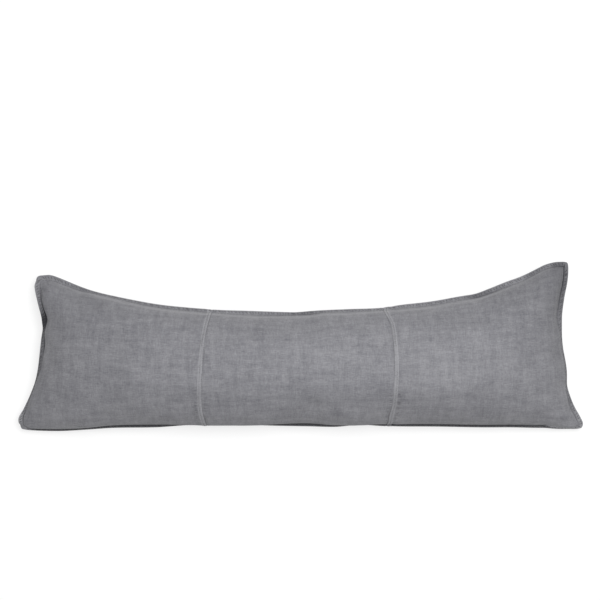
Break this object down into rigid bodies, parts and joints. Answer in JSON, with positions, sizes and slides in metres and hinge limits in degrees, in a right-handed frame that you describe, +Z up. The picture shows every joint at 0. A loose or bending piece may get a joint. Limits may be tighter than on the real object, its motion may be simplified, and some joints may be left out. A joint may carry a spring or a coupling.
{
  "type": "long lumbar pillow",
  "caption": "Long, narrow lumbar pillow in grey washed linen: a filled case with felled face panels, drawn-in sides and a narrow self flange, lying on its back.",
  "frame": {"origin": "on the floor under the middle of the part's box", "axes": "+X along the length, +Y towards the pillow's upper edge, +Z up out of its face"},
  "size_m": [1.2004, 0.3598, 0.178],
  "materials": {
    "linen": "grey washed heavy linen, matt, with a slubbed plain weave"
  },
  "bodies": {
    "root": {"pillow": "linen"}
  },
  "joints": []
}
